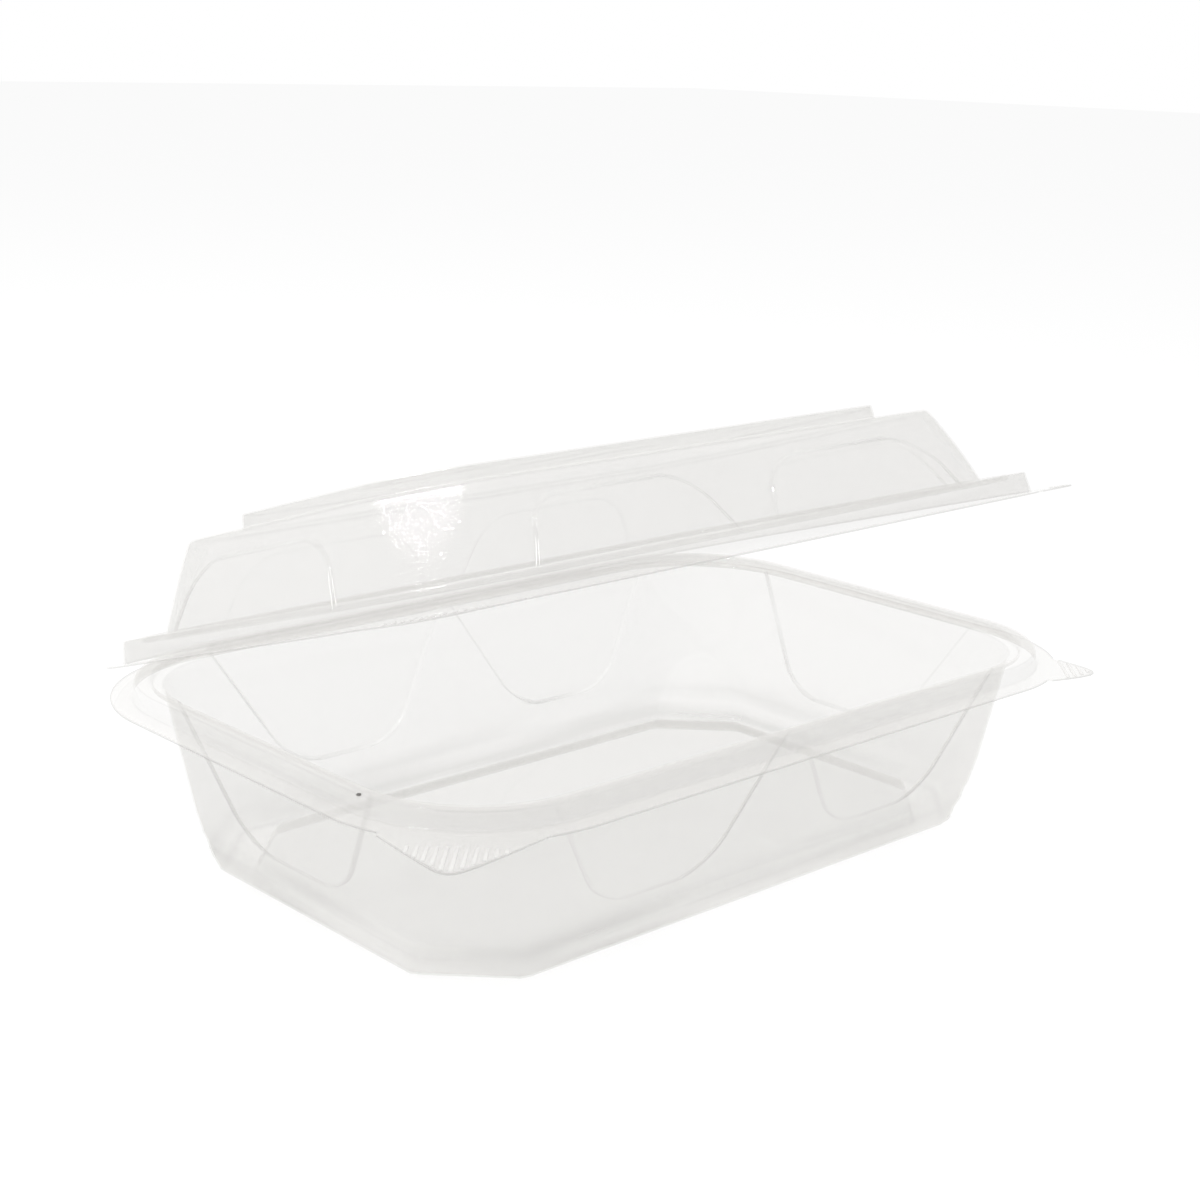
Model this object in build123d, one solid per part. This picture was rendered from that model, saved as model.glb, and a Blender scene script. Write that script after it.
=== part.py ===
from build123d import *
import math
import os

# Clear plastic clamshell pack, with its lid ajar
# The tray and the lid are thin thermoformed shells. Each is an outer form
# with an inner form, one sheet thickness smaller, taken out of it.
# X runs along the long sides, Y from the opening side to the hinge side, Z up.

# Driving dimensions: sheet and flange
sheet = 0.35
flange_length = 197.0
flange_width = 136.0
flange_corner = 34.5
flange_level = 37.7

# Driving dimensions: tray
tray_draft = 0.21
tray_chamfer = 15.6
tray_chamfer_fade = 0.3
tray_bead_foot = 4.4
tray_bead_top = 5.0
tray_bead_height = 3.7
tray_bead_inner = 8.4
tray_shelf_start = 8.7
tray_shelf_drop = 1.4
tray_shelf_width = 2.0
floor_ring = 6.0
floor_lift = 3.0
floor_chamfer = 14.8

# Driving dimensions: lid
lid_height = 23.1
lid_draft = 0.43
lid_foot_corner = 30.5
lid_chamfer = 16.2
lid_bead_foot = 3.5
lid_bead_top = 4.2
lid_bead_height = 5.2
lid_bead_inner = 8.3
lid_shelf_start = 8.5
lid_shelf_drop = 1.1
lid_shelf_ends = 0.83
lid_shelf_sides = 3.83
stack_length = 142.8
stack_width = 71.0
stack_lift = 3.4
stack_chamfer = 11.4

# Driving dimensions: wall panels, pull tabs, snap bands and hinge
panel_bulge = 0.8
panel_slope = 0.61
panel_corner = 7.0
tray_panel_foot = 12.0
tray_long_panel = 14.5
tray_short_panel = 16.3
panel_pitch = 67.0
lid_panel_top = 18.0
lid_long_panel = 21.5
lid_short_panel = 23.0
lid_panel_slope = 0.5
tab_corner = 5.0
left_rib_start = 37.6
right_rib_start = 35.0
rib_pitch = 1.75
rib_width = 0.8
rib_height = 0.3
band_height = 2.4
band_bulge = 0.22
hinge_length = 118.0
hinge_gap = 0.7
lid_clearance = 0.4
lid_open_angle = 17.8

# Outlines of the pull tabs, as distances (along X, along Y) beyond the flange's two edges
left_tab = [(-0.9, -22.0), (1.0, -12.0), (1.0, 1.5), (-13.5, 1.5), (-25.0, -1.2)]
tray_right_tab = [(-9.2, -15.5), (-9.8, 2.2), (-19.0, 2.2), (-26.0, -1.4)]
lid_right_tab = [(-9.2, -15.5), (-9.8, -3.5), (-15.5, 2.2), (-19.0, 2.2), (-26.0, -1.4)]

# Derived sizes
half_x = flange_length / 2
half_y = flange_width / 2
crest_level = flange_level + tray_bead_height
shelf_level = crest_level - tray_shelf_drop
arc_x = half_x - flange_corner
arc_y = half_y - flange_corner
tray_opening = tray_shelf_start + tray_shelf_width
base_x = half_x - tray_opening - tray_draft * shelf_level
base_y = half_y - tray_opening - tray_draft * shelf_level
lid_shelf = lid_bead_height - lid_shelf_drop
hinge_y = half_y + hinge_gap
hinge_z = flange_level + lid_clearance / 2
closed_lid_level = flange_level + lid_clearance


def flange_profile_ring(points):
    # Runs a section of (distance in from the flange edge, height) all the way round
    corner_line = Polyline(*[(flange_corner - d, 0, z) for d, z in points], close=True)
    quarter = revolve(make_face(corner_line), axis=Axis.Z, revolution_arc=90)
    pieces = []
    for turn, sx, sy in ((0, 1, 1), (90, -1, 1), (180, -1, -1), (270, 1, -1)):
        pieces.append(Pos(sx * arc_x, sy * arc_y, 0) * Rot(0, 0, turn) * quarter)
    for side in (1, -1):
        long_line = Polyline(*[(-arc_x, side * (half_y - d), z) for d, z in points], close=True)
        pieces.append(extrude(make_face(long_line), amount=2 * arc_x, dir=(1, 0, 0)))
        short_line = Polyline(*[(side * (half_x - d), -arc_y, z) for d, z in points], close=True)
        pieces.append(extrude(make_face(short_line), amount=2 * arc_y, dir=(0, 1, 0)))
    ring = pieces[0]
    for piece in pieces[1:]:
        ring = ring + piece
    return ring


def drafted_body(wall, low, high, inset, draft):
    # A body whose rounded rectangle, given by wall(z), widens upwards by the draft
    a, b, r = wall(low)
    outline = RectangleRounded(2 * (a - inset), 2 * (b - inset), r - inset)
    lean = math.degrees(math.atan(draft))
    return extrude(Pos(0, 0, low) * outline, amount=high - low, taper=-lean)


def octagon(a, b, chamfer_size, rounding):
    points = []
    for sx, sy in ((1, 1), (-1, 1), (-1, -1), (1, -1)):
        ends = [(sx * a, sy * (b - chamfer_size)), (sx * (a - chamfer_size), sy * b)]
        if sx * sy < 0:
            ends.reverse()
        points.extend(ends)
    outline = Polygon(*points, align=None)
    if rounding > 0:
        outline = fillet(outline.vertices(), rounding)
    return outline


def octagon_block(low, high, rounding):
    # A block between two octagons, each (height, half length, half width, chamfer)
    outlines = []
    for z, a, b, c in (low, high):
        outlines.append(Pos(0, 0, z) * octagon(a, b, c, rounding))
    return loft(outlines, ruled=True)


def corner_cutters(reach, height, slope):
    # Four blocks beyond the sloping flats, where |x| + |y| = reach at the given height
    cutters = []
    for sx, sy in ((1, 1), (-1, 1), (-1, -1), (1, -1)):
        flat = Plane(
            origin=(sx * reach / 2, sy * reach / 2, height),
            x_dir=(-sy, sx, 0),
            z_dir=(sx, sy, -slope),
        )
        block = Box(
            flange_length, flange_length, flange_width, align=(Align.CENTER, Align.CENTER, Align.MIN)
        )
        cutters.append(flat * block)
    return cutters


def panel_outline(foot, end, half_foot, slope, rounding, inset):
    # A wall panel seen from its front, as (across, up), wide at its open end
    run = abs(end - foot)
    up = 1 if end > foot else -1
    lean = math.hypot(1, slope)
    narrow = half_foot - inset * lean + inset * slope
    points = [
        (-narrow, foot + up * inset),
        (narrow, foot + up * inset),
        (narrow + (run - inset) * slope, end),
        (-narrow - (run - inset) * slope, end),
    ]
    outline = Polygon(*points, align=None)
    rounded = [v for v in outline.vertices() if abs(v.Y - foot) < abs(v.Y - end)]
    return fillet(rounded, rounding)


def panel_prisms(foot, end, half_long, half_short, slope, inset):
    # Two panels on each long wall and one on each short wall
    prisms = []
    long_face = panel_outline(foot, end, half_long, slope, panel_corner, inset)
    short_face = panel_outline(foot, end, half_short, slope, panel_corner, inset)
    for side in (1, -1):
        for place in (-panel_pitch / 2, panel_pitch / 2):
            upright = Plane(origin=(place, 0, 0), x_dir=(1, 0, 0), z_dir=(0, -1, 0))
            prisms.append(extrude(upright * long_face, amount=-side * flange_width))
        upright = Plane(origin=(0, 0, 0), x_dir=(0, 1, 0), z_dir=(1, 0, 0))
        prisms.append(extrude(upright * short_face, amount=side * flange_length))
    return prisms


def tray_wall(z):
    # Half length, half width and corner of the tray's wall at one height
    d = tray_opening + tray_draft * (shelf_level - z)
    return (half_x - d, half_y - d, flange_corner - d)


def tray_form(inset, floor, top):
    # The solid form of the tray, one sheet smaller when inset is one sheet
    body = drafted_body(tray_wall, floor, top, inset, tray_draft)
    wide = drafted_body(tray_wall, floor, top, inset - panel_bulge, tray_draft)
    for prism in panel_prisms(
        tray_panel_foot, top + 1, tray_long_panel, tray_short_panel, panel_slope, inset
    ):
        body = body + (wide & prism)
    slope = 2 * tray_draft + tray_chamfer_fade
    reach = base_x + base_y - tray_chamfer
    for cutter in corner_cutters(reach - inset * math.hypot(1.414, slope), 0, slope):
        body = body - cutter
    return body


def floor_block(grow):
    # The raised middle of the floor, which lets packs stack
    a = base_x - floor_ring + grow
    b = base_y - floor_ring + grow
    lean = 0.25 * floor_lift
    return octagon_block(
        (-1, a, b, floor_chamfer), (floor_lift + grow, a - lean, b - lean, floor_chamfer), 6
    )


def tab_outline(side, points):
    # A pull tab beyond the flange's corner arc, at -X for side -1 and at +X for side 1
    corners = [(side * (half_x + dx), -(half_y + dy)) for dx, dy in points]
    corners.append((side * arc_x, -arc_y))
    if side > 0:
        corners.reverse()
    outline = Polygon(*corners, align=None)
    tips = []
    for v in outline.vertices():
        if math.hypot(v.X - side * arc_x, v.Y + arc_y) > flange_corner + 4:
            tips.append(v)
    outline = fillet(tips, tab_corner)
    return outline - Pos(side * arc_x, -arc_y) * Circle(flange_corner - 1.5)


def pull_tab(side, points, rib_start, level):
    # The tab's plate and its ribs, which run along one diagonal at both corners
    outline = tab_outline(side, points)
    plate = Pos(0, 0, level - sheet) * extrude(outline, amount=sheet)
    outward = Pos(side * arc_x, -arc_y, level) * Rot(0, 0, -90 + side * 45)
    zone = outward * Pos(rib_start, 0, 0) * Box(
        flange_width, flange_width, 4, align=(Align.MIN, Align.CENTER, Align.CENTER)
    )
    ribbed = Pos(0, 0, level - 1) * extrude(outline, amount=2) & zone
    height = rib_height + sheet / 2
    middle = flange_corner / 1.414
    for n in range(-9, 10):
        rib = Pos(side * (arc_x + middle), -(arc_y + middle), level - sheet / 2)
        rib = rib * Rot(0, 0, 45) * Pos(0, -side * (n * rib_pitch + rib_pitch / 2), 0)
        bar = rib * Box(
            flange_width, rib_width, height, align=(Align.CENTER, Align.CENTER, Align.MIN)
        )
        stripe = ribbed & bar
        if stripe is not None and stripe.volume > 0.05:
            plate = plate + stripe
    return plate


def snap_bands(foot_d, top_d, low, height):
    # Slightly raised bands on the bead's outer wall, which snap the lid shut
    bands = []
    deep = 0.2
    middle = (foot_d + top_d) / 2
    long_band = Box(2 * arc_x - 6, band_bulge + deep, height)
    bands.append(Pos(0, -(half_y - middle + (band_bulge - deep) / 2), low + height / 2) * long_band)
    short_band = Box(band_bulge + deep, 2 * arc_y - 6, height)
    for side in (1, -1):
        reach = half_x - middle + (band_bulge - deep) / 2
        bands.append(Pos(side * reach, 0, low + height / 2) * short_band)
    return bands


# Tray
tray_section = [
    (0, flange_level),
    (tray_bead_foot, flange_level),
    (tray_bead_top, crest_level),
    (tray_bead_inner, crest_level),
    (tray_shelf_start, shelf_level),
    (tray_opening + 1.5 * sheet, shelf_level),
    (tray_opening + 1.5 * sheet, shelf_level - sheet),
    (tray_shelf_start - sheet, shelf_level - sheet),
    (tray_bead_inner - sheet, crest_level - sheet),
    (tray_bead_top + sheet, crest_level - sheet),
    (tray_bead_foot + sheet, flange_level - sheet),
    (0, flange_level - sheet),
]
tray = tray_form(0, 0, shelf_level) - floor_block(0)
tray = tray + flange_profile_ring(tray_section)
tray = tray - (tray_form(sheet * 1.02, sheet, shelf_level + 0.8) - floor_block(sheet))
tray = tray + pull_tab(-1, left_tab, left_rib_start, flange_level)
tray = tray + pull_tab(1, tray_right_tab, right_rib_start, flange_level)
for band in snap_bands(tray_bead_foot, tray_bead_top, flange_level + 0.7, band_height):
    tray = tray + band
export_step(tray, "parts/tray.step")


def lid_wall(z):
    # Half length, half width and corner of the dome's wall at one height above its flange
    d = lid_draft * (z - lid_shelf)
    return (
        half_x - lid_shelf_start - lid_shelf_ends - d,
        half_y - lid_shelf_start - lid_shelf_sides - d,
        lid_foot_corner - d,
    )


def lid_form(inset, foot, top):
    # The solid form of the dome, one sheet smaller when inset is one sheet
    body = drafted_body(lid_wall, foot, top, inset, -lid_draft)
    wide = drafted_body(lid_wall, foot, top, inset - panel_bulge, -lid_draft)
    for prism in panel_prisms(
        lid_panel_top, foot - 1, lid_long_panel, lid_short_panel, lid_panel_slope, inset
    ):
        body = body + (wide & prism)
    slope = -2 * lid_draft
    top_x, top_y, _ = lid_wall(lid_height)
    reach = top_x + top_y - lid_chamfer
    for cutter in corner_cutters(reach - inset * math.hypot(1.414, slope), lid_height, slope):
        body = body - cutter
    stack = octagon_block(
        (top - 1, stack_length / 2 + 0.4 - inset, stack_width / 2 + 0.4 - inset, stack_chamfer),
        (top + stack_lift, stack_length / 2 - inset, stack_width / 2 - inset, stack_chamfer),
        3,
    )
    return body + stack


# Lid, made closed with its flange's underside at height 0, then turned about the hinge
shelf_end = lid_shelf_start + lid_shelf_sides + 1.5 * sheet
lid_section = [
    (0, 0),
    (0, sheet),
    (lid_bead_foot, sheet),
    (lid_bead_top, lid_bead_height),
    (lid_bead_inner, lid_bead_height),
    (lid_shelf_start, lid_shelf),
    (shelf_end, lid_shelf),
    (shelf_end, lid_shelf - sheet),
    (lid_shelf_start - sheet, lid_shelf - sheet),
    (lid_bead_inner - sheet, lid_bead_height - sheet),
    (lid_bead_top + sheet, lid_bead_height - sheet),
    (lid_bead_foot + sheet, 0),
]
lid = lid_form(0, lid_shelf - sheet, lid_height)
lid = lid + flange_profile_ring(lid_section)
lid = lid - lid_form(sheet * 1.08, lid_shelf - 2 * sheet, lid_height - sheet)
lid = lid + pull_tab(-1, left_tab, left_rib_start, sheet)
lid = lid + pull_tab(1, lid_right_tab, right_rib_start, sheet)
for band in snap_bands(lid_bead_foot, lid_bead_top, sheet + 1.5, band_height):
    lid = lid + band
lid_axis = Axis((0, hinge_y, hinge_z), (1, 0, 0))
lid = (Pos(0, 0, closed_lid_level) * lid).rotate(lid_axis, -lid_open_angle)
export_step(lid, "parts/lid.step")

# Living hinge, the creased strip that joins the two flanges
inner = hinge_gap - 0.1
strip_face = Plane.YZ * (Circle(inner + sheet) - Circle(inner))
strip = extrude(strip_face, amount=hinge_length / 2, both=True)
edge_angle = math.atan2(lid_clearance / 2, hinge_gap)
upper_angle = edge_angle + math.radians(lid_open_angle)
mouth = Polyline(
    (0, 0, 0),
    (0, -6, -6 * math.tan(edge_angle)),
    (0, -6, 6 * math.tan(upper_angle)),
    close=True,
)
strip = strip - extrude(make_face(mouth), amount=hinge_length, both=True)
beyond = Pos(0, -hinge_gap, 0) * Box(
    2 * hinge_length, 4, 4, align=(Align.CENTER, Align.MAX, Align.MAX)
)
strip = strip - beyond - Rot(-lid_open_angle, 0, 0) * mirror(beyond, about=Plane.XY)
living_hinge = Pos(0, hinge_y, hinge_z) * strip
export_step(living_hinge, "parts/living_hinge.step")

print("closed height", closed_lid_level + lid_height + stack_lift)
print("hinge axis", hinge_y, hinge_z)
for name, node in (("tray", tray), ("lid", lid), ("living_hinge", living_hinge)):
    box = node.bounding_box()
    print(name, round(node.volume, 1), len(node.solids()), box.min, box.max)
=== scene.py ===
# %% [markdown]
# # A clear clamshell pack, with its lid ajar
#
# A clamshell pack is one thin sheet of clear plastic. It is heated until it
# is soft and pulled over a mould, so every edge is a small radius and every
# wall leans a little. This lesson builds the sheet ring by ring, gives it its
# real thickness, and then finds a finish that reads as clear plastic.
#
# The imported model is loaded first. It gives the bodies that move.

# %% Load the imported model
import math
import bmesh
import bpy
from mathutils import Matrix, Vector, noise
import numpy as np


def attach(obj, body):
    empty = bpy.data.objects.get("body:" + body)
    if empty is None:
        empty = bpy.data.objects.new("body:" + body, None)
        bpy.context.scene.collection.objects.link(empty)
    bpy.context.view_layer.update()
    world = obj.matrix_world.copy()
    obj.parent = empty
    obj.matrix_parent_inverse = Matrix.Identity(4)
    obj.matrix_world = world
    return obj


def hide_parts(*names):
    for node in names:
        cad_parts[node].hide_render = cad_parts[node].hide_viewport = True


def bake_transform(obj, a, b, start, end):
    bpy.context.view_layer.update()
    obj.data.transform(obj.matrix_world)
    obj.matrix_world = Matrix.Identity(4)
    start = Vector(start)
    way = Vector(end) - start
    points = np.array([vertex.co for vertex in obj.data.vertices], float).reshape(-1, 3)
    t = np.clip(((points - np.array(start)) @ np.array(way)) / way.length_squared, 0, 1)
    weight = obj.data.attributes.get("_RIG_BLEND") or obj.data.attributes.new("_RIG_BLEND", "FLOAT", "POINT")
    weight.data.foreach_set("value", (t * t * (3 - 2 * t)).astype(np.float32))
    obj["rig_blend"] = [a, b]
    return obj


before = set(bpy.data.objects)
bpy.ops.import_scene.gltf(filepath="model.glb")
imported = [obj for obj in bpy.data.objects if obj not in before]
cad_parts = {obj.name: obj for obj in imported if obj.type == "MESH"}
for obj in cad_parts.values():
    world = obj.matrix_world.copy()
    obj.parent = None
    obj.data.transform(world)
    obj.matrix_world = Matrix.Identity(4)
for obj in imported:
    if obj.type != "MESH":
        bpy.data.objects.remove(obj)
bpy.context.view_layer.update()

# %% [markdown]
# ## Where each row of the sheet lies
#
# Seen from above, each level of the pack is a rounded rectangle with its four
# corners cut off flat. Five numbers say all of it: half length, half width,
# corner radius, how far out the flats are, and the height. A station holds
# these five, then how strongly the wall panels show there, then the radius
# that softens the fold at that station and the number of rows after it.
#
# A mould has no sharp folds, so each fold is rounded with a small curve
# before the rows are laid. A station without a radius is no fold. It only
# changes how closely the rows lie.
#
# Each row also carries painted grey shade for the finish. The middle of a fold
# is a little grey, because it bends the light away, and the cut edge is greyer.

# %% A profile with softened folds
# Painted shade: the grey of a fold's middle and of the cut edge
fold_middle_shade, cut_edge_shade = 0.26, 0.55
fold_steps = 4
most_of_stretch = 0.45


def span(step):
    return math.hypot((step[0] + step[1]) / 2, step[4])


def fold_end(corner, other, radius):
    # Where the curve of a fold meets the straight stretch beside it
    step = Vector(other[:6]) - corner
    return corner + step * min(most_of_stretch, radius / max(span(step), 1e-6))


def add_straight(rows, target, count, with_last):
    last = Vector(rows[-1][:6])
    for n in range(1, count + 1 if with_last else count):
        rows.append(list(last.lerp(target, n / count)) + [0.0])


def soften(stations):
    # The first row carries the painted shade of the cut edge
    rows = [list(stations[0][:6]) + [cut_edge_shade]]
    for before, here, after in zip(stations, stations[1:], stations[2:]):
        corner, radius, count = Vector(here[:6]), here[6], before[7]
        if not radius:
            add_straight(rows, corner, count, True)
            continue
        start, end = fold_end(corner, before, radius), fold_end(corner, after, radius)
        add_straight(rows, start, count, False)
        for n in range(fold_steps + 1):
            t = n / fold_steps
            bend = start.lerp(corner, t).lerp(corner.lerp(end, t), t)
            # Painted shade, darkest in the middle of the fold
            rows.append(list(bend) + [fold_middle_shade * (4 * t * (1 - t)) ** 4])
    add_straight(rows, Vector(stations[-1][:6]), stations[-2][7], True)
    return rows


# %% [markdown]
# ## Columns that follow the panels
#
# Each long wall has two arched panels that stand out by less than a
# millimetre, and each short wall has one. Their sides slant, and a slanting
# step that crosses a straight grid looks like a saw. So the columns of the
# sheet slide sideways with height and keep a bundle of close columns on each
# side of a panel. A quarter of the outline runs from the middle of a short
# wall to the middle of a long one, and the other quarters are its mirror
# images.

# %% A quarter of an outline
per_stretch = (22, 8, 36, 8, 28, 8, 10)
quarter_columns = sum(per_stretch)
bundle_half = 0.75
most_turn = 0.7


def along_quarter(place, a, b, r):
    # The point and the outward direction this far along the quarter
    if place <= b - r:
        return a, place, 1.0, 0.0
    turn = (place - (b - r)) / r
    if turn < math.pi / 2:
        nx, ny = math.cos(turn), math.sin(turn)
        return a - r + r * nx, b - r + r * ny, nx, ny
    return a - r - (place - (b - r) - r * math.pi / 2), b, 0.0, 1.0


def stop_at(edge, half, r):
    # How far along its wall a panel's edge lies, also in the round corner
    if edge <= half - r:
        return edge
    return half - r + r * math.asin(min(most_turn, (edge - half + r) / r))


def quarter_places(a, b, r, edges, pull):
    # Even places along the quarter, pulled towards the panels' three edges
    length = (b - r) + r * math.pi / 2 + (a - r)
    y_short, x_far, x_near = edges
    marks = [0.0]
    for stop in (stop_at(y_short, b, r), length - stop_at(x_far, a, r), length - x_near):
        marks += [stop - bundle_half, stop + bundle_half]
    marks.append(length)
    places = []
    for low, high, count in zip(marks, marks[1:], per_stretch):
        for n in range(count):
            places.append(low + (high - low) * n / count)
    places.append(length)
    even = [length * n / quarter_columns for n in range(quarter_columns + 1)]
    return [e + (p - e) * pull for p, e in zip(places, even)]


print("columns in a quarter", quarter_columns)

# %% [markdown]
# ## Smooth comparisons
#
# A fold that fades out, a step with a soft edge and a corner that is cut off
# flat are all made with smooth versions of the usual comparisons: more than
# nothing, below or above, and between two limits.

# %% Smooth comparisons
def soft_positive(value, width):
    # Zero below the band, the value itself above it, and a curve between
    if value <= -width:
        return 0.0
    if value >= width:
        return value
    return (value + width) ** 2 / (4 * width)


def soft_step(value):
    value = max(0.0, min(1.0, value))
    return value * value * (3 - 2 * value)


def between(value, low, high, fade):
    # 1 between the limits and 0 outside them, with soft ends
    return soft_step((value - low) / fade) * soft_step((high - value) / fade)


print("halfway up a soft step", soft_step(0.5))

# %% [markdown]
# ## An arched panel
#
# A panel is a trapezoid with two round corners at its closed end, which is
# called its foot here. How far a point lies outside it decides two things:
# whether the wall stands out there, over a narrow step, and how strong the
# painted grey shade along that step is.

# %% The arch of a panel
corner_round, step_width, line_width = 7.0, 0.45, 0.52


def arch(across, rise, half_foot, slope):
    # 1 inside a panel and 0 outside it, and the strength of its painted outline shade
    side = (abs(across) - half_foot - max(rise, 0) * slope) / math.hypot(1, slope)
    p, q = side + corner_round, corner_round - rise
    outside = math.hypot(max(p, 0), max(q, 0)) + min(max(p, q), 0) - corner_round
    line = max(0.0, 1 - (outside / line_width) ** 2) ** 2
    return soft_step(0.5 - outside / step_width), line


def arch_half(rise, half_foot, slope):
    # Half the width of a panel this far above its foot
    q = max(0.0, corner_round - max(rise, 0.0))
    turned = math.sqrt(corner_round * corner_round - q * q) - corner_round
    return half_foot + max(rise, 0.0) * slope + turned * math.hypot(1, slope)


# %% [markdown]
# ## A ring of the sheet
#
# One ring is a closed loop of points. It starts as the rounded rectangle,
# the panels push it out, and the corner flats push it back in, but only where
# the outline would pass beyond them. Each point also keeps how flat it is
# and a painted grey shade for the outline of the panels. The shade is
# stronger or weaker from side to side, by how the light falls on the steps,
# and a slow noise makes it fade in and out in patches.

# %% One ring
panel_middle, panel_out = 33.5, 0.8
nearest_to_middle = 1.6
on_wall = 0.2
flat_soft, flat_fade = 0.4, 3
# How dark the painted shade of the outlines is, and how wide its change from side to side
outline_shade_depth, tone_width = 0.85, 20
patch_scale = 0.06


def quarter_ring(row, panels, pull):
    a, b, r, reach, z, strength = row[:6]
    foot, upwards, long_half, short_half, slope = panels
    rise = (z - foot) * upwards
    long_now, short_now = (arch_half(rise, half, slope) for half in (long_half, short_half))
    near = max(nearest_to_middle, panel_middle - long_now)
    quarter = []
    for place in quarter_places(a, b, r, (short_now, panel_middle + long_now, near), pull):
        x, y, nx, ny = along_quarter(place, a, b, r)
        on_long = arch(x - panel_middle, rise, long_half, slope) if ny > on_wall else (0, 0)
        on_short = arch(y, rise, short_half, slope) if nx > on_wall else (0, 0)
        bulge, line = max(on_long, on_short)
        bulge *= panel_out * strength
        x, y = x + nx * bulge, y + ny * bulge
        excess = (x + y - reach) / (nx + ny)
        back = soft_positive(excess, flat_soft)
        flat = soft_step(excess / flat_fade + 1)
        is_long = on_long >= on_short
        quarter.append((x - nx * back, y - ny * back, flat, line * strength, is_long))
    return quarter


def outline_shade_by_side(across, tones):
    # From the painted shade of a panel's low side to that of its high side
    return tones[0] + (tones[1] - tones[0]) * soft_step(0.5 + across / tone_width)


def ring(row, panels, pull, tones):
    quarter, z, bend = quarter_ring(row, panels, pull), row[4], row[6]
    points = []
    for sx, sy in ((1, 1), (-1, 1), (-1, -1), (1, -1)):
        run = quarter if sx * sy > 0 else quarter[::-1]
        for x, y, flat, line, is_long in run[:-1]:
            # Painted shade of the outlines, set side by side by how the light falls
            if is_long:
                tone = outline_shade_by_side(sx * (x - panel_middle), tones["back" if sy > 0 else "front"])
            else:
                tone = outline_shade_by_side(sy * y, tones["right" if sx > 0 else "left"])
            place = Vector((sx * x, sy * y, z))
            patch = 0.8 + 0.5 * noise.noise(place * patch_scale)
            # Painted shade along folds and panel outlines, fading in patches
            fold = max(bend, outline_shade_depth * line * tone) * patch
            points.append((place.x, place.y, z, flat, fold))
    return points


# %% [markdown]
# ## Growing a shell
#
# The sheet starts as a circle of points. The operator that extrudes an open
# edge makes each next ring, and the ring's points then move to their places.
# A number kept on each point says which column it belongs to, so nothing
# depends on the order in which the operator returns them. The last ring is
# closed with one face. These points are the upper side of the sheet, and its
# thickness comes later, downwards.

# %% Growing rings
sheet = 0.35


def extrude_ring(bm, edge):
    # The new open edges and their points
    made = bmesh.ops.extrude_edge_only(bm, edges=edge)["geom"]
    fresh = {v for v in made if isinstance(v, bmesh.types.BMVert)}
    edge = [e for e in made if isinstance(e, bmesh.types.BMEdge)]
    return [e for e in edge if e.verts[0] in fresh and e.verts[1] in fresh], fresh


def grow(rings):
    bm = bmesh.new()
    column = bm.verts.layers.int.new("column")
    stipple = bm.verts.layers.float.new("stipple")
    # The fold layer carries painted shade: folds, panel outlines, cut edge and reflection streaks
    painted_shade = bm.verts.layers.float.new("fold")
    bmesh.ops.create_circle(bm, segments=len(rings[0]), radius=1)
    for n, v in enumerate(bm.verts):
        v[column] = n
        # The cut edge's painted shade
        v[painted_shade] = cut_edge_shade
        v.co = rings[0][n][:3]
    edge = list(bm.edges)
    for points in rings[1:]:
        edge, fresh = extrude_ring(bm, edge)
        for v in fresh:
            v.co = points[v[column]][:3]
            v[stipple], v[painted_shade] = points[v[column]][3:]
    bmesh.ops.contextual_create(bm, geom=edge)
    return bm


# %% [markdown]
# ## The rows of the tray
#
# From outside in, the sheet is a flat flange, a raised bead that the lid
# snaps over, a narrow shelf, the leaning wall, the floor's ring and the
# raised middle of the floor.
#
# The columns are pulled to the panels on the wall only. The flange and the
# bead keep evenly spaced columns, and the pull fades in across the shelf.

# %% Tray rows
flange_a, flange_b, flange_r, flange_z = 98.5, 68.0, 34.5, 37.7
bead_z, shelf_z = 41.4, 40.0
lean, flat_lean = 0.21, 0.72
raised_z = 3 + sheet


def inwards(d, z, strength=0.0, reach=200.0):
    return [flange_a - d, flange_b - d, flange_r - d, reach, z, strength]


def pull_at(row):
    return soft_step((flange_a - row[0] - 4.4) / 5.5)


def tray_wall_row(z):
    reach = 112.7 + flat_lean * z - 1.414 * sheet
    return inwards(11.05 + lean * (shelf_z - z), z, 1.0, reach)


tray_stations = [
    inwards(0, flange_z) + [0, 1],  # the cut edge
    inwards(0.4, flange_z) + [0, 3],
    inwards(4.4, flange_z) + [0.45, 6],  # the bead's foot
    inwards(5.0, bead_z) + [0.6, 2],
    inwards(8.4, bead_z) + [0.6, 2],
    inwards(8.7, shelf_z) + [0.4, 2],
    tray_wall_row(shelf_z) + [0.7, 12],  # the top of the wall
    tray_wall_row(20.0) + [0, 11],
    tray_wall_row(13.0) + [0, 9],  # the feet of the panels
    tray_wall_row(11.2) + [0, 6],
    tray_wall_row(sheet) + [1.6, 3],  # the ring that it stands on
    [73.9, 43.4, 16.0, 102.0, sheet, 0.0] + [0.7, 3],
    [73.0, 42.5, 16.0, 101.0, raised_z, 0.0] + [0.7, 3],
    [66.0, 35.5, 14.0, 91.0, raised_z, 0.0] + [0, 0],
]
tray_rows = soften(tray_stations)
# Height of the foot, direction, half widths of a long and a short one, slant
tray_panels = (12.0, 1, 14.5, 16.3, 0.61)
print("tray rows", len(tray_rows), "columns", 4 * quarter_columns)

# %% [markdown]
# ## The rows of the lid
#
# The lid is made closed, with its flange at height 0. Its bead is wider than
# the tray's, its dome leans in twice as fast, and a low block on its top
# keeps stacked packs in place. Its panels are open at the bottom.

# %% Lid rows
lid_bead_z, lid_shelf_z, dome_z, block_z = 5.2, 4.1, 23.1, 26.5
lid_lean, lid_flat_lean = 0.43, 0.86


def lid_wall_row(z):
    d = lid_lean * (z - lid_shelf_z)
    reach = 112.3 + lid_flat_lean * (dome_z - z)
    return [89.17 - d, 55.67 - d, 30.5 - d, reach, z, 1.0]


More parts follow.
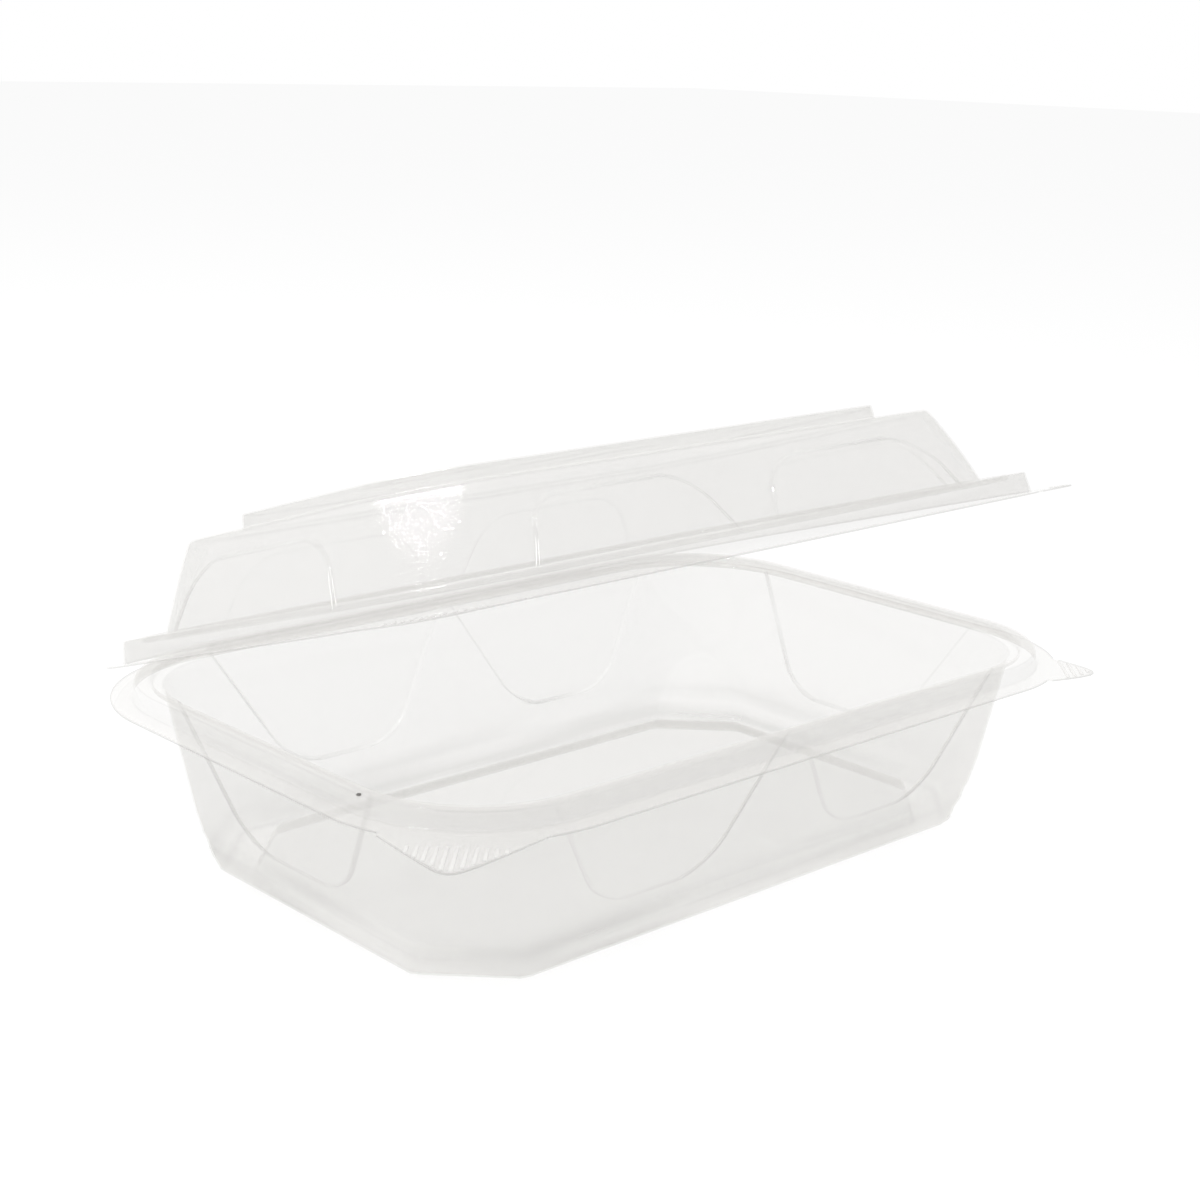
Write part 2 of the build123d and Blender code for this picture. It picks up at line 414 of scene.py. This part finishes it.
lid_stations = [
    inwards(0, sheet) + [0, 1],  # the cut edge
    inwards(0.4, sheet) + [0, 3],
    inwards(3.5, sheet) + [0.45, 7],  # the bead's foot
    inwards(4.2, lid_bead_z) + [0.6, 3],
    inwards(8.3, lid_bead_z) + [0.6, 2],
    inwards(8.5, lid_shelf_z) + [0.35, 2],
    lid_wall_row(lid_shelf_z) + [0.8, 5],  # the foot of the dome
    lid_wall_row(10.5) + [0, 11],
    lid_wall_row(17.0) + [0, 9],  # the tops of the panels
    lid_wall_row(18.8) + [0, 3],
    lid_wall_row(dome_z) + [1.3, 3],
    [71.8, 35.9, 12.5, 95.9, dome_z, 0.0] + [0.7, 3],  # the stacking block
    [71.4, 35.5, 12.5, 95.5, block_z, 0.0] + [0.7, 3],
    [64.0, 28.0, 10.0, 84.0, block_z, 0.0] + [0, 0],
]
lid_rows = soften(lid_stations)
lid_panels = (18.0, -1, 21.5, 23.0, 0.5)
print("lid rows", len(lid_rows))

# %% [markdown]
# ## Snap bands
#
# On the outer side of each bead a slightly proud band clicks the lid shut.
# It runs along one stretch of the front and of each short side, so a few
# rows of the bead are pushed out there by a fifth of a millimetre.

# %% Snap bands
band_out, band_tall, band_soft, band_end = 0.22, 2.4, 0.5, 1.2
rim_depth = 6


def add_bands(rings, foot, front, ends):
    # front and ends are (from, to) along X and Y
    for points in rings:
        for n, (x, y, z, flat, fold) in enumerate(points):
            out = band_out * between(z, foot, foot + band_tall, band_soft)
            if y < -flange_b + rim_depth:
                out *= between(x, *front, band_end)
                points[n] = (x, y - out, z, flat, fold)
            elif abs(x) > flange_a - rim_depth:
                out *= between(y, *ends, band_end)
                points[n] = (x + math.copysign(out, x), y, z, flat, fold)


# %% [markdown]
# ## Painted reflection streaks
#
# Low on the tray's walls, faint grey streaks run along the fold, painted in as
# the reflection of darker things around the pack. They are a slow noise,
# squeezed in height, in the tone of each point.

# %% Painted reflection streaks
streak_along, streak_up = 0.025, 0.3
streak_foot = 1.2


def add_reflection_streaks(rings, highest, depth):
    for points in rings:
        for n, (x, y, z, flat, fold) in enumerate(points):
            # Painted reflection: grey streaks low on the walls
            low = soft_step((highest - z) / highest) * soft_step(z / streak_foot)
            place = Vector((streak_along * x, streak_along * y, streak_up * z))
            wavy = max(0.0, 0.4 + 1.2 * noise.noise(place))
            points[n] = (x, y, z, flat, max(fold, depth * low * wavy))


# %% [markdown]
# ## Sliding the lid's front panels
#
# On the real lid the two front panels stand a few millimetres nearer to the
# left end than those at the back. The front wall is straight, so its points
# can slide along it without changing the wall, and they stay put at the
# corners.

# %% Slide the front panels
def slide_front(rings, rows, distance):
    for points, row in zip(rings, rows):
        straight, pull = row[0] - row[2], pull_at(row)
        for n, (x, y, z, flat, fold) in enumerate(points):
            if y < 0 and abs(x) < straight:
                share = (1 - (x / straight) ** 8) * pull
                points[n] = (x - distance * share, y, z, flat, fold)


# %% [markdown]
# ## The outline of a pull tab
#
# Both sheets end in a small tab at each front corner. The outline of a tab is
# a few straight lines. They are written as distances from the corner that the
# flange would have if it weren't round. A ray from the centre of that round
# corner finds how far out the tab reaches there, and a soft minimum of the
# lines rounds the tab's own corners.

# %% Tab outlines
arc_x, arc_y = flange_a - flange_r, flange_b - flange_r
left_tab = [(-0.9, -22.0), (1.0, -12.0), (1.0, 1.5), (-13.5, 1.5), (-25.0, -1.2)]
tray_right_tab = [(-9.2, -15.5), (-9.8, 2.2), (-19.0, 2.2), (-26.0, -1.4)]
lid_right_tab = [(-9.2, -15.5), (-9.8, -3.5), (-15.5, 2.2), (-19.0, 2.2), (-26.0, -1.4)]
tab_round = 6.0


def arc_centre(side):
    return Vector((side * arc_x, -arc_y))


def tab_points(side, corners):
    return [Vector((side * (flange_a + dx), -(flange_b + dy))) for dx, dy in corners]


def normal_from(inside, p, q):
    # The normal of the line from p to q that points away from the inside
    normal = Vector((q.y - p.y, p.x - q.x)).normalized()
    return normal if normal.dot(p - inside) >= 0 else -normal


def tab_reach(side, points, heading):
    # How far a ray from the arc's centre runs before it meets the tab's lines
    centre, distance = arc_centre(side), 1e3
    for p, q in zip(points, points[1:]):
        normal = normal_from(centre, p, q)
        facing = normal.dot(heading)
        if facing > 0.05:
            here = normal.dot(p - centre) / facing
            gap = max(tab_round - abs(distance - here), 0.0)
            distance = min(distance, here) - gap * gap / (4 * tab_round)
    return distance


print("the left tab passes the flange by", left_tab[1][0], "and", left_tab[2][1])

# %% [markdown]
# ## Growing a tab
#
# The tab is more of the same flange, so it grows from the flange's own edge.
# Each edge of the outer loop that faces the tab is extruded outwards in even
# steps as far as the outline. The cut edge's painted shade moves out with it.

# %% Growing a tab
tab_steps = 8
same_level = 0.01


def tab_tips(bm, side, corners, level):
    # For each column of the flange's edge that faces the tab, where it ends
    column, centre = bm.verts.layers.int["column"], arc_centre(side)
    points = tab_points(side, corners)
    ends = [p - centre for p in (points[0], points[-1])]
    first, last = [math.atan2(side * p.x, -p.y) for p in ends]
    tips = {}
    for v in bm.verts:
        if not v.is_boundary or abs(v.co.z - level) > same_level:
            continue
        out = v.co.xy - centre
        if not last <= math.atan2(side * out.x, -out.y) <= first or out.length < flange_r - 0.5:
            continue
        far = tab_reach(side, points, out.normalized())
        if far > out.length + 0.15:
            tips[v[column]] = centre + out.normalized() * far
    return tips


def grow_tab(bm, side, corners, level):
    column, painted_shade = bm.verts.layers.int["column"], bm.verts.layers.float["fold"]
    tips = tab_tips(bm, side, corners, level)
    edge = [e for e in bm.edges if e.is_boundary and all(v[column] in tips for v in e.verts)]
    edge = [e for e in edge if abs(e.verts[0].co.z - level) < same_level]
    roots = {v[column]: v.co.copy() for e in edge for v in e.verts}
    for e in edge:
        for v in e.verts:
            v[painted_shade] = 0.0
    for step in range(1, tab_steps + 1):
        edge, fresh = extrude_ring(bm, edge)
        for v in fresh:
            root = roots[v[column]]
            # The painted shade of the cut edge goes to the tab's tip
            v[painted_shade] = cut_edge_shade if step == tab_steps else 0.0
            v.co = root.lerp(Vector((*tips[v[column]], root.z)), step / tab_steps)
    print("tab columns", len(roots))


# %% [markdown]
# ## Where a rib lies
#
# Fine ribs give a thumb some grip. All of them run along the same diagonal
# at both corners, as they come from one milling direction in the mould. So
# they run outwards on the left tab and across the tab on the right. Each rib
# is a stretch of a line that is trimmed to stay inside the tab's outline.

# %% Trimming a rib
rib_pitch, rib_margin = 1.75, 1.1


def clip_to_tab(start, heading, side, corners):
    # The stretch of a line that lies inside the tab's outline
    loop = [arc_centre(side)] + tab_points(side, corners)
    middle = sum(loop, Vector((0, 0))) / len(loop)
    low, high = -1e3, 1e3
    for p, q in zip(loop, loop[1:] + loop[:1]):
        normal = normal_from(middle, p, q)
        room, facing = normal.dot(p - start) - rib_margin, normal.dot(heading)
        if facing > 1e-6:
            high = min(high, room / facing)
        elif facing < -1e-6:
            low = max(low, room / facing)
        elif room < 0:
            return 0.0, 0.0
    return low, high


def rib_line(n, side, corners, nearest):
    # The two ends of a rib, which starts at this distance from the arc's centre
    outward, across = Vector((side, -1)).normalized(), Vector((side, 1)).normalized()
    offset = (n + 0.5) * rib_pitch
    if side > 0:
        start, heading = arc_centre(side) + outward * (flange_r + offset), across
        if flange_r + offset < nearest:
            return start, start
    else:
        start, heading = arc_centre(side) + across * offset, outward
    low, high = clip_to_tab(start, heading, side, corners)
    if side < 0:
        low = max(low, nearest)
    return start + heading * low, start + heading * max(low, high)


# %% [markdown]
# ## Making the ribs
#
# Each rib is a small bar with a rounded top, set slightly into the tab. It is
# made flat on the ground, bevelled, turned to its line and moved to its place.

# %% Ribs
rib_width, rib_height, rib_root = 0.8, 0.3, 0.1
rib_round, shortest_rib = 0.2, 1.4


def rib_bars(side, corners, nearest, level):
    bars = bmesh.new()
    tall = rib_height + rib_root
    for n in range(-9, 10):
        start, end = rib_line(n, side, corners, nearest)
        along = end - start
        if along.length < shortest_rib:
            continue
        made = bmesh.ops.create_cube(bars, size=1)["verts"]
        bmesh.ops.scale(bars, vec=(along.length, rib_width, tall), verts=made)
        top = {e for v in made for e in v.link_edges if all(w.co.z > 0 for w in e.verts)}
        rounded = bmesh.ops.bevel(
            bars, geom=list(top), offset=rib_round, segments=2, profile=0.5,
            affect="EDGES", material=-1,
        )
        made = {v for v in made if v.is_valid} | set(rounded["verts"])
        turn = Matrix.Rotation(math.atan2(along.y, along.x), 4, "Z")
        middle = (*(start + end) / 2, level + tall / 2 - rib_root)
        bmesh.ops.transform(bars, matrix=Matrix.Translation(middle) @ turn, verts=list(made))
    return bars


# %% [markdown]
# ## Finishing a mesh
#
# Everything is drawn in millimetres. Finishing a piece merges its doubles,
# points its faces outwards, gives it its thickness, turns millimetres into
# metres and hands the mesh to an object that stays at the origin. Only the
# cut edges turn by more than the sharp angle, and they stay crisp.

# %% Finishing a piece
merge_distance, sharp_angle = 0.004, math.radians(50)


def finish_piece(bm, name, body, thickness=0.0, place=Matrix.Identity(4)):
    bmesh.ops.remove_doubles(bm, verts=bm.verts, dist=merge_distance)
    bmesh.ops.recalc_face_normals(bm, faces=bm.faces)
    if thickness:
        highest = max(bm.faces, key=lambda f: f.calc_center_median().z)
        if highest.normal.z < 0:
            bmesh.ops.reverse_faces(bm, faces=bm.faces)
        bmesh.ops.solidify(bm, geom=bm.faces[:], thickness=thickness)
        bmesh.ops.recalc_face_normals(bm, faces=bm.faces)
    bmesh.ops.transform(bm, matrix=Matrix.Scale(0.001, 4) @ place, verts=bm.verts)
    mesh = bpy.data.meshes.new(name)
    bm.to_mesh(mesh)
    bm.free()
    mesh.shade_smooth()
    mesh.set_sharp_from_angle(angle=sharp_angle)
    piece = bpy.data.objects.new(name, mesh)
    bpy.context.scene.collection.objects.link(piece)
    if body:
        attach(piece, body)
    print(name, "triangles", sum(len(p.vertices) - 2 for p in mesh.polygons))
    return piece


# %% [markdown]
# ## The tray
#
# Each side of the tray has its own painted shade for the panel outlines. The
# last rings of the floor's middle get a grey tone of their own, which makes
# the middle of the floor a little darker.

# %% Tray shell
# Painted shade of each side's panel outlines, by how the light falls on it
tray_outline_shading = {"front": (0.12, 0.9), "back": (0.8, 0.12), "left": (0.35, 0.8), "right": (0.35, 0.5)}
# Height and depth of the painted reflection streaks
streak_top, reflection_streak_depth = 15.0, 0.3
floor_rings, floor_tone = 4, 0.2
left_ribs_from, right_ribs_from = 37.6, 35.0

tray_rings = [ring(row, tray_panels, pull_at(row), tray_outline_shading) for row in tray_rows]
add_bands(tray_rings, flange_z + 0.7, (-3.6, 53.0), (-42.0, 20.0))
# Painted reflection streaks low on the walls
add_reflection_streaks(tray_rings, streak_top, reflection_streak_depth)
# The middle of the floor is drawn a little greyer
for points in tray_rings[-floor_rings:]:
    points[:] = [(*point[:4], max(point[4], floor_tone)) for point in points]
tray_mesh = grow(tray_rings)
grow_tab(tray_mesh, -1, left_tab, flange_z)
grow_tab(tray_mesh, 1, tray_right_tab, flange_z)
tray = finish_piece(tray_mesh, "tray_sheet", "tray", sheet)
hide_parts("tray")
left_bars = rib_bars(-1, left_tab, left_ribs_from, flange_z)
right_bars = rib_bars(1, tray_right_tab, right_ribs_from, flange_z)
tray_ribs = [
    finish_piece(left_bars, "tray_left_tab_ribs", "tray"),
    finish_piece(right_bars, "tray_right_tab_ribs", "tray"),
]

# %% [markdown]
# ## A speck in the rim
#
# A small dark speck sits in the bead on the left. It is a small
# disc with a bevelled upper edge, and its shape is squeezed a little so that
# it isn't a perfect circle.

# %% Speck
speck_radius, speck_tall, speck_round = 0.48, 0.35, 0.15
speck_place = (-93.3, -36.5, 41.15)

speck_bm = bmesh.new()
bmesh.ops.create_circle(speck_bm, cap_ends=True, segments=24, radius=speck_radius)
risen = bmesh.ops.extrude_face_region(speck_bm, geom=speck_bm.faces[:])["geom"]
speck_top = [v for v in risen if isinstance(v, bmesh.types.BMVert)]
bmesh.ops.translate(speck_bm, verts=speck_top, vec=(0, 0, speck_tall))
bmesh.ops.bevel(
    speck_bm, geom=[e for e in speck_bm.edges if all(v in speck_top for v in e.verts)],
    offset=speck_round, segments=3, profile=0.5, affect="EDGES", material=-1,
)
for v in speck_bm.verts:
    v.co.x *= 1 + 0.15 * noise.noise(v.co * 2)
    v.co.y *= 0.8
bmesh.ops.translate(speck_bm, verts=speck_bm.verts, vec=speck_place)
speck = finish_piece(speck_bm, "tray_rim_speck", "tray")

# %% [markdown]
# ## The lid
#
# The lid is grown in the same way, lifted to its closed level and then
# turned about the hinge line by the angle at which it stands ajar. The flats
# at its corners keep a fine stipple from the mould, which ends a little below
# the top.

# %% Lid shell
hinge_y, hinge_z, open_angle = 68.7, 37.9, 17.8
closed_z = 38.1
front_slide = 3.6
stipple_top, stipple_fade = 21.9, 0.8
# Painted shade of each side's panel outlines, by how the light falls on it
lid_outline_shading = {"front": (0.2, 0.9), "back": (0.08, 0.08), "left": (0.3, 0.7), "right": (0.08, 0.08)}

axis_at = Matrix.Translation((0, hinge_y, hinge_z))
opened = axis_at @ Matrix.Rotation(math.radians(-open_angle), 4, "X") @ axis_at.inverted()
ajar = opened @ Matrix.Translation((0, 0, closed_z))
lid_rings = [ring(row, lid_panels, pull_at(row), lid_outline_shading) for row in lid_rows]
slide_front(lid_rings, lid_rows, front_slide)
add_bands(lid_rings, sheet + 1.5, (-61.0, 61.0), (-30.5, 30.5))
for points in lid_rings:
    below_top = soft_step((stipple_top - points[0][2]) / stipple_fade)
    points[:] = [(x, y, z, flat * below_top, fold) for x, y, z, flat, fold in points]
lid_mesh = grow(lid_rings)
grow_tab(lid_mesh, -1, left_tab, sheet)
grow_tab(lid_mesh, 1, lid_right_tab, sheet)
lid = finish_piece(lid_mesh, "lid_sheet", "lid", sheet, ajar)
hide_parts("lid")
left_bars = rib_bars(-1, left_tab, left_ribs_from, sheet)
right_bars = rib_bars(1, lid_right_tab, right_ribs_from, sheet)
lid_ribs = [
    finish_piece(left_bars, "lid_left_tab_ribs", "lid", 0.0, ajar),
    finish_piece(right_bars, "lid_right_tab_ribs", "lid", 0.0, ajar),
]

# %% [markdown]
# ## The living hinge
#
# Between the two flanges the sheet is creased and folds round on itself. One
# line of points at the tray's edge is spun about the hinge line until it
# meets the lid's edge. The strip belongs to both bodies, so it bends between
# them when the lid moves.

# %% Hinge strip
hinge_half, hinge_columns = 59, 59
strip_start = (-hinge_half, 67.922, 37.355)
strip_turn = math.radians(272.2)

strip = bmesh.new()
grown = bmesh.ops.create_vert(strip, co=strip_start)["vert"]
for n in range(1, hinge_columns + 1):
    grown = bmesh.ops.extrude_vert_indiv(strip, verts=grown)["verts"]
    grown[0].co.x = -hinge_half + 2 * hinge_half * n / hinge_columns
bmesh.ops.spin(
    strip, geom=strip.verts[:] + strip.edges[:], cent=(0, hinge_y, hinge_z),
    axis=(1, 0, 0), angle=strip_turn, steps=32,
)
hinge = finish_piece(strip, "hinge_strip", None, sheet)
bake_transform(hinge, "tray", "lid", start=(0, 0.0687, 0.0376), end=(0, 0.0687, 0.0384))
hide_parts("living_hinge")

# %% [markdown]
# ## Adding nodes
#
# A finish is a tree of nodes, and small helpers keep the trees short. The
# first adds a node and feeds its sockets by name, with a plain value or with
# the output of another node. The others add a sum of two values, mix two
# shaders, and start a material that has no nodes yet.

# %% Helpers for nodes
def add_node(tree, kind, feeds={}, **settings):
    node = tree.nodes.new(kind)
    for name, value in settings.items():
        setattr(node, name, value)
    for socket, value in feeds.items():
        if isinstance(value, bpy.types.NodeSocket):
            tree.links.new(value, node.inputs[socket])
        else:
            node.inputs[socket].default_value = value
    return node


def maths(tree, operation, first, second):
    feeds = {0: first, 1: second}
    return add_node(tree, "ShaderNodeMath", feeds, operation=operation).outputs[0]


def mix_shaders(tree, share, first, second):
    feeds = {"Fac": share, 1: first.outputs[0], 2: second.outputs[0]}
    return add_node(tree, "ShaderNodeMixShader", feeds)


def empty_material(name):
    material = bpy.data.materials.new(name)
    material.use_nodes = True
    material.node_tree.nodes.clear()
    return material, material.node_tree


# %% [markdown]
# ## An uneven sheet
#
# The sheet is never perfectly even, because the mould cools it unevenly. A
# shared node group gives each finish the same unevenness: a very low, wide
# waviness and a fine grain where the points carry a stipple. It also passes on
# the painted shade of the folds and outlines and the painted reflection
# streaks that were kept on the points.

# %% A node group for an uneven sheet
grain_scale = 1500.0


def uneven_group():
    group = bpy.data.node_groups.new("Uneven sheet", "ShaderNodeTree")
    number = "NodeSocketFloat"
    for name, value in (("Wave size", 60.0), ("Wave depth", 0.0004), ("Stipple depth", 0.0002)):
        socket = group.interface.new_socket(name, in_out="INPUT", socket_type=number)
        socket.default_value = value
    for name in ("Height", "Painted shade"):
        group.interface.new_socket(name, in_out="OUTPUT", socket_type=number)
    inside = add_node(group, "NodeGroupInput").outputs
    where = add_node(group, "ShaderNodeTexCoord").outputs["Object"]
    wave, grain = (
        add_node(group, "ShaderNodeTexNoise", {"Vector": where, "Scale": scale, "Detail": 0.0})
        for scale in (inside["Wave size"], grain_scale)
    )
    stippled, painted_shade = (
        add_node(group, "ShaderNodeAttribute", attribute_name=name).outputs["Fac"]
        for name in ("stipple", "fold")
    )
    deep = maths(group, "MULTIPLY", wave.outputs["Fac"], inside["Wave depth"])
    rough = maths(group, "MULTIPLY", grain.outputs["Fac"], stippled)
    shallow = maths(group, "MULTIPLY", rough, inside["Stipple depth"])
    height = maths(group, "ADD", deep, shallow)
    add_node(group, "NodeGroupOutput", {"Height": height, "Painted shade": painted_shade})
    return group


uneven = uneven_group()
print("group", uneven.name)

# %% [markdown]
# ## How much skin shows
#
# Clear plastic is mostly what is behind it, and only a thin glossy skin lies
# over that. Face-on the skin is a veil, and edge-on it closes up, as the
# mirror share of any clear plastic does. It is laid on outer faces only, and
# light that passes through on its way to the floor skips it, because a line
# of sight meets many sheets and each would dim it again.

# %% The share of the skin
def skin_share(tree, facing, veil, edge_share):
    edge_on = maths(tree, "POWER", facing, 5.0)
    feeds = {"Value": edge_on, "To Min": veil, "To Max": edge_share}
    laid_on = add_node(tree, "ShaderNodeMapRange", feeds).outputs["Result"]
    path = add_node(tree, "ShaderNodeLightPath").outputs
    lighting = maths(tree, "MAXIMUM", path["Is Shadow Ray"], path["Is Diffuse Ray"])
    inner_side = add_node(tree, "ShaderNodeNewGeometry").outputs["Backfacing"]
    skipped = maths(tree, "MAXIMUM", lighting, inner_side)
    return maths(tree, "MULTIPLY", laid_on, maths(tree, "SUBTRACT", 1.0, skipped))


# %% [markdown]
# ## Clear sheet
#
# Each side of the sheet lets nearly all light through and takes a little
# away. Two Transparent shaders are mixed by how much the surface faces the
# eye. The face-on one turns grey by the tone kept on the points, which paints
# shade on the folds and the outlines of the panels and paints reflection
# streaks low on the walls. The skin over them is a pale, glossy Principled
# shader, and only its gloss follows the waviness. The mixing stays in the
# material, next to the shaders.

# %% Clear sheet material
# The grey of the painted shade on folds and outlines, and of the painted reflection streaks
almost_clear, painted_shade_grey = (0.968, 0.966, 0.962, 1), (0.72, 0.72, 0.71, 1)
edge_grey = (0.965, 0.965, 0.955, 1)
skin_feeds = {
    "Base Color": (0.74, 0.733, 0.726, 1),
    "Roughness": 0.05,
    "IOR": 1.57,
    "Specular IOR Level": 1.0,
}


def clear_sheet(name, veil, edge_share, stipple_depth):
    material, tree = empty_material(name)
    feeds = {"Stipple depth": stipple_depth}
    surface = add_node(tree, "ShaderNodeGroup", feeds, node_tree=uneven).outputs
    # Painted shade and painted reflection streaks kept on the points tint the face-on layer
    feeds = {"A": almost_clear, "B": painted_shade_grey, "Factor": surface["Painted shade"]}
    tone = add_node(tree, "ShaderNodeMix", feeds, data_type="RGBA").outputs["Result"]
    face_on = add_node(tree, "ShaderNodeBsdfTransparent", {"Color": tone})
    grazing = add_node(tree, "ShaderNodeBsdfTransparent", {"Color": edge_grey})
    facing = add_node(tree, "ShaderNodeLayerWeight", {"Blend": 0.5}).outputs["Facing"]
    through = mix_shaders(tree, maths(tree, "POWER", facing, 7.0), face_on, grazing)
    feeds = {"Strength": 0.6, "Distance": 1.0, "Height": surface["Height"]}
    bump = add_node(tree, "ShaderNodeBump", feeds).outputs["Normal"]
    skin = add_node(tree, "ShaderNodeBsdfPrincipled", {**skin_feeds, "Normal": bump})
    share = skin_share(tree, facing, veil, edge_share)
    both = mix_shaders(tree, share, through, skin)
    add_node(tree, "ShaderNodeOutputMaterial", {"Surface": both.outputs[0]})
    return material


tray_finish = clear_sheet("Clear tray sheet", 0.32, 0.72, 0.0)
lid_finish = clear_sheet("Clear lid sheet", 0.32, 0.72, 0.0004)
rib_finish = clear_sheet("Ribbed tab", 0.55, 0.8, 0.0)
finishes = {piece: rib_finish for piece in tray_ribs + lid_ribs}
finishes.update({tray: tray_finish, hinge: tray_finish, lid: lid_finish})
for piece, finish in finishes.items():
    piece.data.materials.append(finish)
print("clear pieces", len(finishes))

# %% [markdown]
# ## The speck's own finish
#
# The speck is almost black. A fine mottle keeps it from being
# one flat colour.

# %% Dark speck
def speck_material():
    material, tree = empty_material("Dark speck")
    where = add_node(tree, "ShaderNodeTexCoord").outputs["Object"]
    mottle = add_node(tree, "ShaderNodeTexNoise", {"Vector": where, "Scale": 3000.0})
    colour = add_node(tree, "ShaderNodeValToRGB", {"Fac": mottle.outputs["Fac"]})
    colour.color_ramp.elements[0].color = (0.05, 0.048, 0.045, 1)
    colour.color_ramp.elements[1].color = (0.22, 0.21, 0.2, 1)
    feeds = {"Base Color": colour.outputs["Color"], "Roughness": 0.4}
    skin = add_node(tree, "ShaderNodeBsdfPrincipled", feeds)
    add_node(tree, "ShaderNodeOutputMaterial", {"Surface": skin.outputs[0]})
    return material


speck.data.materials.append(speck_material())
print("materials", [m.name for m in bpy.data.materials])

# %% [markdown]
# ## Floor and backdrop
#
# The pack stands in a white studio. The floor is a pale matt surface. To the
# camera, and to rays that gloss or glass sends out, it also glows a little,
# so that it reads as white while a soft shadow stays on it.

# %% Floor
floor_size, floor_drop = 6, 0.0002
floor_glow, glow_share = 1.06, 0.6


def floor_material():
    material, tree = empty_material("Studio floor")
    matt = add_node(tree, "ShaderNodeBsdfDiffuse", {"Color": (0.8, 0.8, 0.8, 1)})
    glow = add_node(tree, "ShaderNodeEmission", {"Strength": floor_glow})
    path = add_node(tree, "ShaderNodeLightPath").outputs
    seen = maths(tree, "MAXIMUM", path["Is Camera Ray"], path["Is Glossy Ray"])
    seen = maths(tree, "MAXIMUM", seen, path["Is Transmission Ray"])
    surface = mix_shaders(tree, maths(tree, "MULTIPLY", seen, glow_share), matt, glow)
    add_node(tree, "ShaderNodeOutputMaterial", {"Surface": surface.outputs[0]})
    return material


floor_bm = bmesh.new()
bmesh.ops.create_grid(floor_bm, x_segments=4, y_segments=4, size=floor_size)
floor_mesh = bpy.data.meshes.new("studio_floor")
floor_bm.to_mesh(floor_mesh)
floor_bm.free()
floor = bpy.data.objects.new("studio_floor", floor_mesh)
bpy.context.scene.collection.objects.link(floor)
floor.location.z = -floor_drop
floor_mesh.materials.append(floor_material())
print("floor", 2 * floor_size, "metres wide")

# %% [markdown]
# ## World and lamps
#
# The world is plain white, for the eye as for the light that it gives. Three
# lamps hang above the pack. A narrow strip lies across the line of sight and
# draws the bright line along the fold of the lid's front left corner. A small
# lamp hangs where the stippled flat below that fold mirrors it towards the
# camera. A large soft one lights everything a little from behind.

# %% World and lamps
world = bpy.data.worlds.new("Studio")
bpy.context.scene.world = world
world.use_nodes = True
world.node_tree.nodes.clear()
feeds = {"Color": (1, 1, 1, 1), "Strength": 1.0}
sky = add_node(world.node_tree, "ShaderNodeBackground", feeds)
add_node(world.node_tree, "ShaderNodeOutputWorld", {"Surface": sky.outputs[0]})


def turned(place, right, up, backward):
    # A camera or a lamp looks along its own negative Z
    return Matrix.Translation(place) @ Matrix((right, up, backward)).transposed().to_4x4()


def lamp(name, place, target, along, size, power):
    light = bpy.data.lights.new(name, "AREA")
    light.shape = "RECTANGLE"
    light.size, light.size_y = size
    light.energy = power
    back = (Vector(place) - Vector(target)).normalized()
    side = (Vector(along) - back * back.dot(Vector(along))).normalized()
    holder = bpy.data.objects.new(name, light)
    bpy.context.scene.collection.objects.link(holder)
    holder.matrix_world = turned(place, side, back.cross(side), back)
    print(name, "power", power)


corner_line = (1, -0.86, 0)
lid_corner, corner_flat = (-0.073, -0.027, 0.093), (-0.075, -0.03, 0.09)
lamp("strip_overhead", (-0.41, 0.235, 1.2), lid_corner, corner_line, (0.26, 0.05), 5.0)
lamp("facet_glint", (-0.56, 0.085, 1.2), corner_flat, corner_line, (0.2, 0.1), 1.0)
lamp("soft_overhead", (0.2, 0.3, 1.5), (0, 0, 0.04), (1, 0, 0), (1.2, 1.2), 0.6)

# %% [markdown]
# ## Camera
#
# The camera stands where the photographer did: in front of the left front
# corner and a little above the lid. The three columns of its matrix are its
# right, up and backward directions.

# %% Camera
camera_place = (-0.29743, -0.32022, 0.17264)
right = Vector((0.7257, -0.6874, 0.0284)).normalized()
forward = Vector((0.6689, 0.6954, -0.2627)).normalized()

camera_data = bpy.data.cameras.new("camera")
camera_data.sensor_width = 36
camera_data.lens = 61.56
camera_data.shift_x = -0.0340
camera_data.shift_y = 0.0024
camera_data.clip_start = 0.01
camera = bpy.data.objects.new("camera", camera_data)
bpy.context.scene.collection.objects.link(camera)
camera.matrix_world = turned(camera_place, right, right.cross(forward), -forward)
bpy.context.scene.camera = camera
bpy.context.scene.view_settings.view_transform = "Standard"
print("camera", camera_place, "lens", camera_data.lens)

# %% [markdown]
# ## Looking through many sheets
#
# A line of sight through both shells can meet a dozen clear surfaces, more
# than the eight that a render follows unless it is told otherwise, and the
# rest would turn black.

# %% See through every sheet
bpy.context.scene.cycles.transparent_max_bounces = 32
